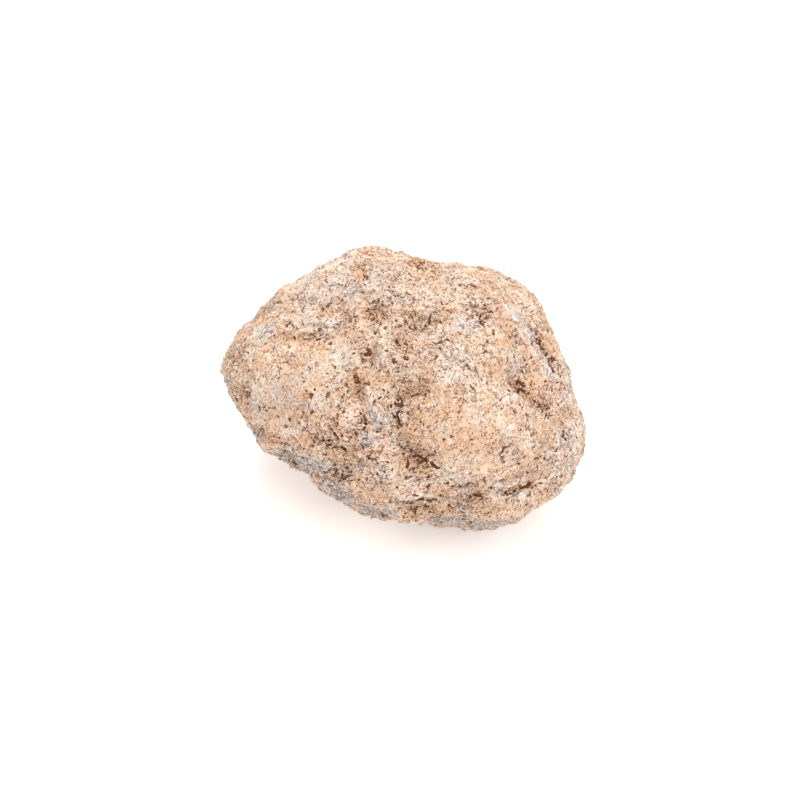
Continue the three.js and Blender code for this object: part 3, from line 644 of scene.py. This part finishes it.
def weathered_and_shaded(tree, place, shade, colours, dirt_and_shade):
    """Lays the rind's stains over a shade, then its tooth with its painted shade and highlight, its slits,
    the given share of the iron stain and painted shade that its hollows hold, and its pin holes. Returns the
    shade and the height of this fine relief."""
    # Wear changes the relief and the grains alone, so no stain reads it.
    painted = [name for name in SHOWN if name != "worn"]
    found = {name: add(tree, "ShaderNodeAttribute", attribute_name=name).outputs["Fac"] for name in painted}
    for name, (grain, *others) in SPECKLES.items():
        found[name] = speckle(tree, place, grain, *others)

    def terms(**weights):
        return [(found[name], weight) for name, weight in weights.items()]

    def laid(shade, stains, share=1.0):
        for name, weights, low, high, most in stains:
            tone = stone if name == "stone" else getattr(colours, name)
            shade = stained(tree, shade, tone, terms(**weights), low, high, most * share)
        return shade

    stone = stained(tree, colours.grey, colours.lilac, terms(stone=1), 0.45, 0.6)
    shade = laid(shade, STAINS)
    found["tooth"] = summed(tree, terms(streak=0.65, silt=0.65))
    # The tooth's painted shade and painted highlight, laid on most where the rind is rough.
    tooth = stained(tree, TOOTH_PAINTED_SHADE, TOOTH_PAINTED_HIGHLIGHT, terms(tooth=1), 0.475, 0.615)
    links = [(0, rising(tree, terms(rough=1), 0.1, 0.7, 0.75)), (6, shade), (7, tooth)]
    shade = add(tree, "ShaderNodeMix", links, data_type="RGBA", blend_type="MULTIPLY").outputs[2]
    loose = crevices(tree, found["loose"], rising(tree, terms(loose_gate=1, rough=0.24), 0.6, 0.74), 0.032)
    lined = crevices(tree, found["lined"], rising(tree, terms(lined_gate=1, rough=0.24), 0.6, 0.74), 0.036)
    for name, pair in zip(("slits", "rims"), zip(loose, lined)):
        found[name] = add(tree, "ShaderNodeMath", list(enumerate(pair)), operation="MAXIMUM").outputs[0]
    shade = laid(laid(shade, SLIT_STAINS), HOLLOW_STAINS_AND_SHADE, dirt_and_shade)
    found["pricks"] = rising(tree, terms(prick=1, rough=0.07), 0.655, 0.695)
    found["holes"] = rising(tree, terms(hole=1, rough=0.1, brown=0.06), 0.72, 0.745)
    return laid(shade, HOLE_STAINS), summed(tree, terms(**FINE_RELIEF))


def mineral(name):
    """A new material, its empty tree and its coordinates in millimetres."""
    material = bpy.data.materials.new(name)
    material.use_nodes = True
    tree = material.node_tree
    tree.nodes.clear()
    place = [(0, add(tree, "ShaderNodeTexCoord").outputs["Object"])]
    scaled = add(tree, "ShaderNodeVectorMath", place, operation="SCALE", Scale=1 / MM)
    return material, tree, scaled.outputs[0]


def surface(tree, shade, roughness, ior, height=None, relief=0.0):
    """Ends a tree with its shader. A height gives it a fine relief, so many mm high."""
    links = [("Base Color", shade), ("Roughness", roughness), ("IOR", ior)]
    if height is not None:
        bump = add(tree, "ShaderNodeBump", [("Height", height)], Strength=1.0, Distance=relief * MM)
        links.append(("Normal", bump.outputs[0]))
    shader = add(tree, "ShaderNodeBsdfPrincipled", links)
    add(tree, "ShaderNodeOutputMaterial", [("Surface", shader.outputs[0])])


def rind_material(colours):
    """Weathered calcite and chalcedony rind, etched by the soil: matt, flaky along its layers, with umber in
    the thin slits between the flakes and a fine tooth that breaks up the light. The tooth's light and shade
    and the shade in the hollows are painted into the colour."""
    material, tree, place = mineral("weathered_calcite_rind")
    base = stained(tree, colours.tan, colours.peach, [(speckle(tree, place, 7.0), 1)], 0.35, 0.65)
    shade, height = weathered_and_shaded(tree, place, base, colours, 1.0)
    grey = add(tree, "ShaderNodeAttribute", attribute_name="grey").outputs["Fac"]
    surface(tree, shade, rising(tree, [(grey, 1)], 0.0, 1.0, 0.92, 0.6), 1.5, height, 0.2)
    return material


def grain_material(name, colours, light, dark):
    """Broken sand grains of one mineral: each has its own tone, and its faces are dusty. They carry the
    rind's painted tooth shade and highlight, and part of the painted shade in its hollows.
    """
    material, tree, place = mineral(name)
    tone = add(tree, "ShaderNodeAttribute", attribute_name="tone").outputs["Fac"]
    base = add(tree, "ShaderNodeMix", [(0, tone), (6, dark), (7, light)], data_type="RGBA").outputs[2]
    shade, height = weathered_and_shaded(tree, place, base, colours, 0.6)
    surface(tree, shade, 0.85, 1.5, height, 0.25)
    return material


def quartz_material(colours):
    """Milky quartz: nearly white and glassy, clouded with grey."""
    material, tree, place = mineral("milky_quartz")
    shade = stained(tree, colours.quartz, colours.grey, [(speckle(tree, place, 0.4), 1)], 0.4, 0.6)
    surface(tree, shade, 0.22, 1.544)
    return material


# Rind


def subdivided_nodule():
    """A merged copy of the solid, smoothed into facets of about 0.15 mm."""
    bm = bmesh.new()
    bm.from_mesh(frame["nodes"][NODULE].data)
    bmesh.ops.remove_doubles(bm, verts=bm.verts, dist=0.01 * MM)
    cage = bpy.data.objects.new("rind_cage", finished_mesh("rind_cage", bm))
    bpy.context.scene.collection.objects.link(cage)
    smooth = cage.modifiers.new("facets", "SUBSURF")
    smooth.levels = smooth.render_levels = 3
    fine = bpy.data.meshes.new_from_object(cage.evaluated_get(bpy.context.evaluated_depsgraph_get()))
    bpy.data.meshes.remove(cage.data)
    return fine


def patches(kind, places, x, u, facing, warp):
    """The patches of a kind on the face, and those that noise gives the rest of the nodule."""
    strength, grain, seed, low, high, ragged = ELSEWHERE[kind]
    behind = smooth_step(noise_at(places, grain, seed) + ragged * warp, low, high)
    return np.maximum(patch_mask(kind, x, u, facing, warp), (1 - facing) * strength * behind)


def fine_relief(places, x, u, layer, worn, rough, sizes):
    """How far each vertex stands out: by lumps, crumbs of three sizes, flakes of three, and scales."""
    crumb = sizes.crumb / MM
    rise = sizes.lump_height / MM * noise_at(places, sizes.lump / MM, 4)
    crumbs = crumbs_at(places, crumb, 0.5, 5)
    rise += sizes.crumb_height / MM * crumbs * (1 - 0.45 * worn) * (0.7 + 0.5 * noise_at(places, 5.0, 6))
    crumbs = crumbs_at(places + 0.25 * noise_at(places, 0.8, 14)[:, None], 0.55 * crumb, 0.4, 15)
    rise += sizes.crumb_height / MM * crumbs * (0.2 + 0.65 * rough)
    rise += 0.09 * noise_at(places, 0.9, 7) * (1 - 0.5 * worn)
    rise += 0.1 * crumbs_at(places, 0.3 * crumb, 0.4, 24) * (0.4 + 0.8 * rough)
    rise += 0.05 * noise_at(places, 0.35, 25)
    rise += sizes.flake_height / MM * flakes_at(places, layer, 2.2, 0.6, 8) * (1 - 0.3 * worn)
    rise += 0.6 * sizes.flake_height / MM * flakes_at(places, layer, 4.5, 1.5, 12)
    rise += 0.5 * sizes.flake_height / MM * flakes_at(places, layer, 1.1, 0.3, 13)
    rim = smooth_step(rim_share(x, u), 0.35, 0.8)
    rim = rim * (0.5 + 0.5 * smooth_step(noise_at(places, 5.0, 17), -0.2, 0.3))
    scales = scales_at(layer + 1.2 * noise_at(places, 3.0, 18), sizes.scale / MM)
    return rise + sizes.scale_height / MM * rim * scales


def ridge_height(routes, x, u, facing, warp):
    """How high each vertex stands in a ridge, and how far in mm it is from the nearest, up to RIDGE_REACH."""
    height = np.zeros(len(x))
    nearest = np.full(len(x), RIDGE_REACH)
    for route, width, high in routes:
        away = distance_to_route(route, x + 0.3 * warp, u - 0.3 * warp)
        height = np.maximum(height, high * (1 - smooth_step(away / width, 0.0, 0.7)))
        nearest = np.minimum(nearest, away)
    ripple = RIPPLE_HEIGHT * np.cos(2 * math.pi * nearest / RIPPLE)
    ripple = ripple * (1 - smooth_step(nearest, 0.4, RIDGE_REACH))
    return (height + ripple) * facing, nearest


def pits(places, normals, x, u, facing, chance, brown, sizes):
    """How deep each vertex lies in a pit: the face's own pits, and lone pores all round, by their chance."""
    random = np.random.default_rng(PORE_SEED)
    found = []
    for px, pu, long, wide, turn in PITS:
        near = np.argmin(np.hypot(x - px, u - pu) + HIDDEN * (facing < 0.1))
        found.append((near, PIT_FLOOR * long, PIT_FLOOR * wide, turned(turn)))
    spots = random.choice(len(places), int(sizes.pores_per_cm2 * RIND_CM2), p=chance / chance.sum())
    for near in spots:
        wide = sizes.pore / MM * (0.35 + 0.65 * random.random() ** 3) * (1 + 0.3 * brown[near])
        found.append((near, wide * (1 + random.random()), wide, random.normal(size=3)))
    depth = np.zeros(len(places))
    order = np.argsort(places[:, 0])
    sorted_x = places[order, 0]
    for near, long, wide, along in found:
        reach = 0.8 * max(long, wide)
        low, high = np.searchsorted(sorted_x, (places[near, 0] - reach, places[near, 0] + reach))
        close = order[low:high]
        away = places[close] - places[near]
        along = along - normals[near] * (along @ normals[near])
        along /= np.linalg.norm(along)
        stretch = away @ along
        across = np.sqrt(np.maximum((away**2).sum(axis=1) - stretch**2, 0))
        distance = np.hypot(stretch / long, across / wide) * 2
        floor = (0.12 + 0.3 * min(long, wide)) * (1 - smooth_step(distance, 0.3, 1.15))
        depth[close] = np.maximum(depth[close], floor)
    return depth


def slits_at(places, layer, rough):
    """Short slits that wind along the layers and round the crumbs: 1 in a slit and 0 elsewhere."""
    lined = 1 - smooth_step(np.abs(flakes_at(places, layer, 2.0, 0.75, 20)), 0.03, 0.17)
    loose = 1 - smooth_step(np.abs(noise_at(places, 0.9, 21)), 0.03, 0.16)
    lined = lined * smooth_step(noise_at(places, 1.3, 22) + 0.9 * rough, 0.4, 0.8)
    loose = loose * smooth_step(noise_at(places, 1.1, 23) + 0.9 * rough, 0.45, 0.85)
    return np.maximum(lined, loose)


def crack_depth(x, u, facing, warp, breaks):
    """How deep each vertex lies in a crack. The noise breaks bridges it here and there."""
    depth = np.zeros(len(x))
    for route, width, deep in CRACKS:
        away = distance_to_route(route, x + 0.3 * warp, u - 0.3 * warp) / (width / 2)
        depth = np.maximum(depth, deep * (1 - smooth_step(away, 0.3, 1.5)))
    return depth * facing * (0.35 + 0.65 * smooth_step(breaks, -0.25, 0.15))


def shape_rind(mesh, sizes):
    """Moves the rind's vertices out and in, and returns what each of them shows."""
    places, normals, quads = mesh_arrays(mesh)
    x, u, d = on_face(places)
    facing = smooth_step(normals @ FACE_OUT, -0.05, 0.25)
    warp = noise_at(places, 1.6, 1) + 0.5 * noise_at(places, 0.7, 2)
    shows = {kind: patches(kind, places, x, u, facing, warp) for kind in ELSEWHERE}
    brown = shows["brown"] = patch_mask("brown", x, u, facing, warp)
    worn, pitted = shows["worn"], shows.pop("pitted")
    rough = np.clip(0.4 + 0.25 * noise_at(places, 3.2, 26) + 0.28 * pitted - 0.2 * worn, 0, 1)
    layer = layers_at(x, u, d) + 0.7 * noise_at(places, 2.6, 11) + 1.6 * noise_at(places, 9.0, 16)

    rise = fine_relief(places, x, u, layer, worn, rough, sizes)
    ridge, nearest_ridge = ridge_height(RIDGES, x, u, facing, warp)
    rise += ridge + ridge_height(FILLS, x, u, facing, warp)[0]
    for px, pu, reach, high in SWELLS:
        rise += high * (1 - smooth_step(np.hypot(x - px, u - pu) / reach, 0.0, 1.0))
    rise -= 0.05 * brown

    layer += 1.5 * nearest_ridge
    chance = 0.1 + 0.8 * rough + 1.6 * brown
    pit = pits(places, normals, x, u, facing, chance, brown, sizes)
    crack = crack_depth(x, u, facing, warp, noise_at(places, 1.1, 19))
    deep = np.maximum(pit, crack) + 0.35 * np.minimum(pit, crack)
    deep = np.maximum(deep, sizes.slit / MM * slits_at(places, layer, rough))

    shaped = places + normals * (rise - deep)[:, None]
    shaped[:, 2] = np.maximum(shaped[:, 2], 0)
    mesh.vertices.foreach_set("co", (shaped * MM).ravel())
    mesh.update()
    cavity = ((relaxed(shaped, quads, 16) - shaped) * normals).sum(axis=1)
    shows["layer"], shows["rough"] = layer, rough
    shows["hollow"] = np.clip(deep / 0.4, 0, 1)
    # nook: how far each vertex is sunk below its neighbours; the material paints shade into it.
    shows["nook"] = np.clip(cavity / 0.12, -0.4, 1) + 0.1 * brown
    # crest: the convex places and the ridges, which the material lightens as bleaching and as a painted
    # highlight.
    shows["crest"] = np.clip(-0.8 * cavity / 0.1 + ridge / 0.5, 0, 1)
    return shows


def quarters(mesh):
    """The rind cut along its facets into four pieces of as many facets, each with its name. Their normals
    stay those of the whole rind, so that no seam shows."""
    places, normals, quads = mesh_arrays(mesh)
    mesh.attributes.new("outward", "FLOAT_VECTOR", "POINT").data.foreach_set("vector", normals.ravel())
    x, y, _ = places[quads].mean(axis=1).T
    left = x < np.median(x)
    for side, half in (("left", left), ("right", ~left)):
        front = y < np.median(y[half])
        for end, kept in (("front", half & front), ("back", half & ~front)):
            bm = bmesh.new()
            bm.from_mesh(mesh)
            others = [face for face, keep in zip(bm.faces, kept) if not keep]
            bmesh.ops.delete(bm, geom=others, context="FACES")
            name = f"rind_{end}_{side}"
            part = finished_mesh(name, bm)
            outward = np.empty(len(part.vertices) * 3, np.float32)
            part.attributes["outward"].data.foreach_get("vector", outward)
            part.normals_split_custom_set_from_vertices(outward.reshape(-1, 3))
            part.attributes.remove(part.attributes["outward"])
            yield name, part


class GEODE_OT_rind(bpy.types.Operator):
    """Lays the fine rind over the solid, with its lumps, flakes, pits and cracks"""

    bl_idname = "geode.rind"
    bl_label = "Rind"

    def execute(self, context):
        mesh = subdivided_nodule()
        for name, values in shape_rind(mesh, context.scene.geode_sizes).items():
            put_attribute(mesh, name, values)
        mesh.materials.clear()
        mesh.shade_smooth()
        material = rind_material(context.scene.geode_colours)
        for name, part in quarters(mesh):
            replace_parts(link(name, part, material), NODULE)
        bpy.data.meshes.remove(mesh)
        return {"FINISHED"}


# Grains

# Each kind of sand: its name, its two colours, and how likely it is on a facet that shows what.
SAND = (
    ("bleached_grains", "blush", "peach", lambda s: 0.36 + 0.25 * s["pale"] - 0.5 * s["nook"]),
    ("peach_grains", "peach", "tan", lambda s: 0.34 - 0.1 * s["grey"] - 0.25 * s["nook"]),
    ("rust_grains", "tan", "rust", lambda s: 0.09 + 0.3 * s["ochre"] + 0.4 * s["nook"]),
    ("grey_grains", "blush", "grey", lambda s: 0.5 * s["grey"] - 0.1 * s["nook"]),
)
MOST_GRAINS = 3500
SAND_SEED = 21
CHIP_KINDS = 14
CHIP_CORNERS = 9
# A grain is this long, wide and high, as shares of its size, and up to so much more.
GRAIN_SHAPE = np.array((1.2, 0.8, 0.3))
GRAIN_SPREAD = np.array((1.0, 0.35, 0.2))


def chips(random):
    """Angular grains about 1 across, as (kinds, corners, 3) places and (kinds, faces, 3) triangles."""
    places, faces = [], []
    while len(places) < CHIP_KINDS:
        bm = bmesh.new()
        for i in range(CHIP_CORNERS):
            height = 1 - (2 * i + 1) / CHIP_CORNERS
            turn = i * 2.4 + random.random()
            flat = math.sqrt(1 - height * height)
            size = 0.5 * (0.8 + 0.3 * random.random())
            bm.verts.new((size * flat * math.cos(turn), size * flat * math.sin(turn), size * height))
        bmesh.ops.convex_hull(bm, input=bm.verts)
        bmesh.ops.recalc_face_normals(bm, faces=bm.faces)
        bm.verts.index_update()
        if len(bm.faces) == 2 * CHIP_CORNERS - 4 and all(v.link_faces for v in bm.verts):
            places.append([v.co[:] for v in bm.verts])
            faces.append([[v.index for v in f.verts] for f in bm.faces])
        bm.free()
    return np.array(places), np.array(faces)


def read_rind():
    """The rind's facets: corners in mm, normals, and what they show."""
    corners, outward, shows = [], [], {name: [] for name in SHOWN}
    for part in (made for made in bpy.data.objects if made.name.startswith("rind_")):
        places, normals, quads = mesh_arrays(part.data)
        for name, found in shows.items():
            values = np.empty(len(places), np.float32)
            part.data.attributes[name].data.foreach_get("value", values)
            found.append(values[quads].mean(axis=1))
        corners.append(places[quads])
        outward.append(normals[quads].mean(axis=1))
    outward = np.concatenate(outward)
    outward /= np.linalg.norm(outward, axis=1)[:, None]
    return np.concatenate(corners), outward, {name: np.concatenate(found) for name, found in shows.items()}


def kinds_of_grain(shows, sizes, random):
    """The kind of grain that lies on each of the rind's facets, or -1 where none does."""
    draw = random.random(len(shows["worn"]))
    cover = sizes.sand_cover * (1 - 0.15 * shows["worn"])
    cover = cover * (1 - 0.8 * smooth_step(shows["hollow"], 0.5, 0.75))
    weights = np.stack([np.clip(weight(shows), 0, None) for *_, weight in SAND], axis=1)
    bounds = np.cumsum(weights / weights.sum(axis=1)[:, None], axis=1) * cover[:, None]
    chosen = (draw[:, None] < bounds).argmax(axis=1)
    chosen[draw >= bounds[:, -1]] = -1
    return chosen


def turned_bases(outward, along, tilt, random):
    """A right-handed basis for each grain: its length near along, and its height near outward."""
    lean = random.normal(size=outward.shape) * tilt[:, None]
    up = outward + lean
    up /= np.linalg.norm(up, axis=1)[:, None]
    side = np.cross(up, along)
    side /= np.linalg.norm(side, axis=1)[:, None]
    return np.stack((np.cross(side, up), side, up), axis=1)


def strewn(corners, outward, lines, worn, sizes, random):
    """The middle, the basis and the sizes of a grain on each facet, most of them lying along the layers."""
    count = len(corners)
    along = lines + 0.8 * random.normal(size=(count, 3))
    size = sizes.sand / MM * np.exp(0.4 * random.normal(size=count)) * (1 - 0.15 * worn)
    size = np.clip(size, 0.17, 0.8)
    scales = size[:, None] * (GRAIN_SHAPE + random.random((count, 3)) * GRAIN_SPREAD)
    bases = turned_bases(outward, along, 0.05 + 0.25 * random.random(count), random)
    shares = random.dirichlet((1.0, 1.0, 1.0, 1.0), count)
    middles = (corners * shares[:, :, None]).sum(axis=1)
    middles += outward * (size * (0.1 * random.random(count)))[:, None]
    return middles, bases, scales


def grain_mesh(name, middles, bases, scales, shows, random):
    """One mesh of many grains, each with the attributes of the facet that it sits on."""
    shapes, faces = chips(random)
    kinds = random.integers(CHIP_KINDS, size=len(middles))
    corners = shapes[kinds] * scales[:, None, :]
    corners = np.einsum("gcj,gjk->gck", corners, bases) + middles[:, None, :]
    kept = corners[:, :, 2].min(axis=1) > 0.02
    corners, kinds = corners[kept], kinds[kept]
    triangles = faces[kinds] + (np.arange(len(kinds)) * CHIP_CORNERS)[:, None, None]
    mesh = bpy.data.meshes.new(name)
    mesh.vertices.add(corners.shape[0] * CHIP_CORNERS)
    mesh.vertices.foreach_set("co", (corners * MM).ravel())
    count = triangles.shape[0] * triangles.shape[1]
    mesh.loops.add(3 * count)
    mesh.loops.foreach_set("vertex_index", triangles.ravel().astype(np.int32))
    mesh.polygons.add(count)
    mesh.polygons.foreach_set("loop_start", np.arange(0, 3 * count, 3, dtype=np.int32))
    mesh.update(calc_edges=True)
    for key, values in shows.items():
        put_attribute(mesh, key, np.repeat(values[kept], CHIP_CORNERS))
    put_attribute(mesh, "layer", layers_at(*on_face(corners.reshape(-1, 3))))
    mesh.validate()
    return mesh


class GEODE_OT_sand(bpy.types.Operator):
    """Sets sand grains of four kinds into the rind"""

    bl_idname = "geode.sand"
    bl_label = "Sand grains"

    def execute(self, context):
        sizes, colours = context.scene.geode_sizes, context.scene.geode_colours
        random = np.random.default_rng(SAND_SEED)
        corners, outward, shows = read_rind()
        chosen = kinds_of_grain(shows, sizes, random)
        x, u, _ = on_face(corners.mean(axis=1))
        lines = layer_lines(outward, x, u)
        for kind, (name, light, dark, _) in enumerate(SAND):
            picked = np.flatnonzero(chosen == kind)
            random.shuffle(picked)
            picked = picked[:MOST_GRAINS]
            here = {key: values[picked] for key, values in shows.items()}
            grains = strewn(corners[picked], outward[picked], lines[picked], here["worn"], sizes, random)
            here["tone"] = random.random(len(picked))
            mesh = grain_mesh(name, *grains, here, random)
            tones = getattr(colours, light), getattr(colours, dark)
            link(name, mesh, grain_material(f"sand_of_{name}", colours, *tones))
        return {"FINISHED"}


# Quartz

# Small quartz nodules on the face: place in mm, length, width and height in mm, turn in degrees.
NODULES = (
    (18.7, -16.7, 1.4, 1.1, 0.8, 10), (16.8, -5.8, 1.1, 0.9, 0.3, 0), (9.8, -12.9, 0.7, 0.5, 0.3, 0),
    (24.4, -8.6, 0.5, 0.9, 0.3, 0), (24.5, -10.2, 0.5, 0.8, 0.3, -10), (14.6, -14.8, 0.8, 0.4, 0.3, 20),
    (19.9, -8.4, 0.5, 0.4, 0.3, 0), (24.6, 11.2, 0.4, 0.8, 0.3, 30),
)


class GEODE_OT_crystals(bpy.types.Operator):
    """Sets small rounded quartz nodules where they show on the face"""

    bl_idname = "geode.crystals"
    bl_label = "Quartz nodules"

    def execute(self, context):
        corners, outward, _ = read_rind()
        middle = corners.mean(axis=1)
        x, u, _ = on_face(middle)
        hidden = HIDDEN * (outward @ FACE_OUT < 0.1)
        bm = bmesh.new()
        for px, pu, long, wide, high, turn in NODULES:
            near = np.argmin(np.hypot(x - px, u - pu) + hidden)
            up = Vector(outward[near])
            across = up.cross(Vector(turned(turn))).normalized()
            basis = Matrix((across.cross(up), across, up)).transposed()
            at = Vector(middle[near]) * MM
            sizes = Vector((long, wide, high))
            for vertex in bmesh.ops.create_icosphere(bm, subdivisions=3, radius=0.5)["verts"]:
                bumpy = 1 + 0.25 * noise.noise(vertex.co * 4 + at / MM)
                vertex.co = at + basis @ (vertex.co * sizes) * bumpy * MM
        mesh = finished_mesh("quartz_nodules", bm)
        link("quartz_nodules", mesh, quartz_material(context.scene.geode_colours))
        return {"FINISHED"}


# Stage

# Places of the softboxes and half the table's width, in metres.
REAR_SOFTBOX = (0.0, 0.29, 0.57)
FRONT_SOFTBOX = (0.08, -0.33, 0.5)
SOFTBOX_WIDTH = 0.4
TABLE_HALF = 1.5
# The camera aims so far below and left of the face's middle, in mm. Its lens and film are in mm too.
AIM_BELOW = 1.74
AIM_LEFT = 0.41
LENS = 100
FILM = 36


def softbox(name, power, at, target):
    lamp = bpy.data.lights.new(name, "AREA")
    lamp.shape = "SQUARE"
    lamp.size = SOFTBOX_WIDTH
    lamp.energy = power
    made = bpy.data.objects.new(name, lamp)
    made.location = at
    made.rotation_euler = (target - Vector(at)).to_track_quat("-Z", "Y").to_euler()
    bpy.context.scene.collection.objects.link(made)


def acrylic_table(stage):
    """A wide table of matt acrylic that is lit from below: flat, pale and nearly without shadow."""
    bm = bmesh.new()
    bmesh.ops.create_grid(bm, x_segments=1, y_segments=1, size=TABLE_HALF)
    table = bpy.data.objects.new("table", finished_mesh("table", bm))
    bpy.context.scene.collection.objects.link(table)
    acrylic = bpy.data.materials.new("backlit_matt_acrylic")
    acrylic.use_nodes = True
    tree = acrylic.node_tree
    tree.nodes.clear()
    light = [("Base Color", stage.floor), ("Emission Color", (1, 1, 1)), ("Emission Strength", stage.glow)]
    shader = add(tree, "ShaderNodeBsdfPrincipled", light, Roughness=0.9)
    add(tree, "ShaderNodeOutputMaterial", [("Surface", shader.outputs[0])])
    table.data.materials.append(acrylic)


class GEODE_OT_stage(bpy.types.Operator):
    """Makes the pale table, the soft lights and the camera"""

    bl_idname = "geode.stage"
    bl_label = "Stage"

    def execute(self, context):
        stage, scene = context.scene.geode_stage, context.scene
        acrylic_table(stage)
        middle = Vector(face_middle()) * MM
        softbox("rear_softbox", stage.rear_power, REAR_SOFTBOX, middle)
        softbox("front_softbox", stage.front_power, FRONT_SOFTBOX, middle)
        scene.world = bpy.data.worlds.new("white_room")
        scene.world.use_nodes = True
        room = scene.world.node_tree.nodes["Background"]
        room.inputs["Color"].default_value = (1, 1, 1, 1)
        room.inputs["Strength"].default_value = stage.ambient

        lens = bpy.data.cameras.new("camera")
        lens.lens = LENS
        lens.sensor_width = FILM
        camera = bpy.data.objects.new("camera", lens)
        scene.collection.objects.link(camera)
        away = stage.view_width * lens.lens / lens.sensor_width
        aim = middle - Vector(FACE_UP) * AIM_BELOW * MM - Vector(FACE_RIGHT) * AIM_LEFT * MM
        camera.location = aim + Vector(FACE_OUT) * away
        camera.rotation_euler = (-Vector(FACE_OUT)).to_track_quat("-Z", "Y").to_euler()
        scene.camera = camera
        scene.view_settings.view_transform = "Standard"
        return {"FINISHED"}


class GEODE_PT_panel(bpy.types.Panel):
    """Lists the geode's pieces, sizes and colours"""

    bl_idname = "GEODE_PT_panel"
    bl_label = "Agate Geode"
    bl_space_type = "VIEW_3D"
    bl_region_type = "UI"
    bl_category = "Geode"

    def draw(self, context):
        for group in (context.scene.geode_sizes, context.scene.geode_colours, context.scene.geode_stage):
            box = self.layout.box()
            for name in group.bl_rna.properties.keys():
                if name not in ("rna_type", "name"):
                    box.prop(group, name)
        for operator in OPERATORS:
            self.layout.operator(operator.bl_idname)


OPERATORS = (GEODE_OT_rind, GEODE_OT_sand, GEODE_OT_crystals, GEODE_OT_stage)
GROUPS = {"geode_colours": GeodeColours, "geode_sizes": GeodeSizes, "geode_stage": GeodeStage}


def register():
    for kind in (*GROUPS.values(), *OPERATORS, GEODE_PT_panel):
        bpy.utils.register_class(kind)
    for name, group in GROUPS.items():
        setattr(bpy.types.Scene, name, bpy.props.PointerProperty(type=group))


def unregister():
    for name in GROUPS:
        delattr(bpy.types.Scene, name)
    for kind in (GEODE_PT_panel, *reversed(OPERATORS), *GROUPS.values()):
        bpy.utils.unregister_class(kind)


def main():
    register()
    bpy.ops.geode.rind()
    bpy.ops.geode.sand()
    bpy.ops.geode.crystals()
    bpy.ops.geode.stage()


if __name__ == "__main__":
    main()
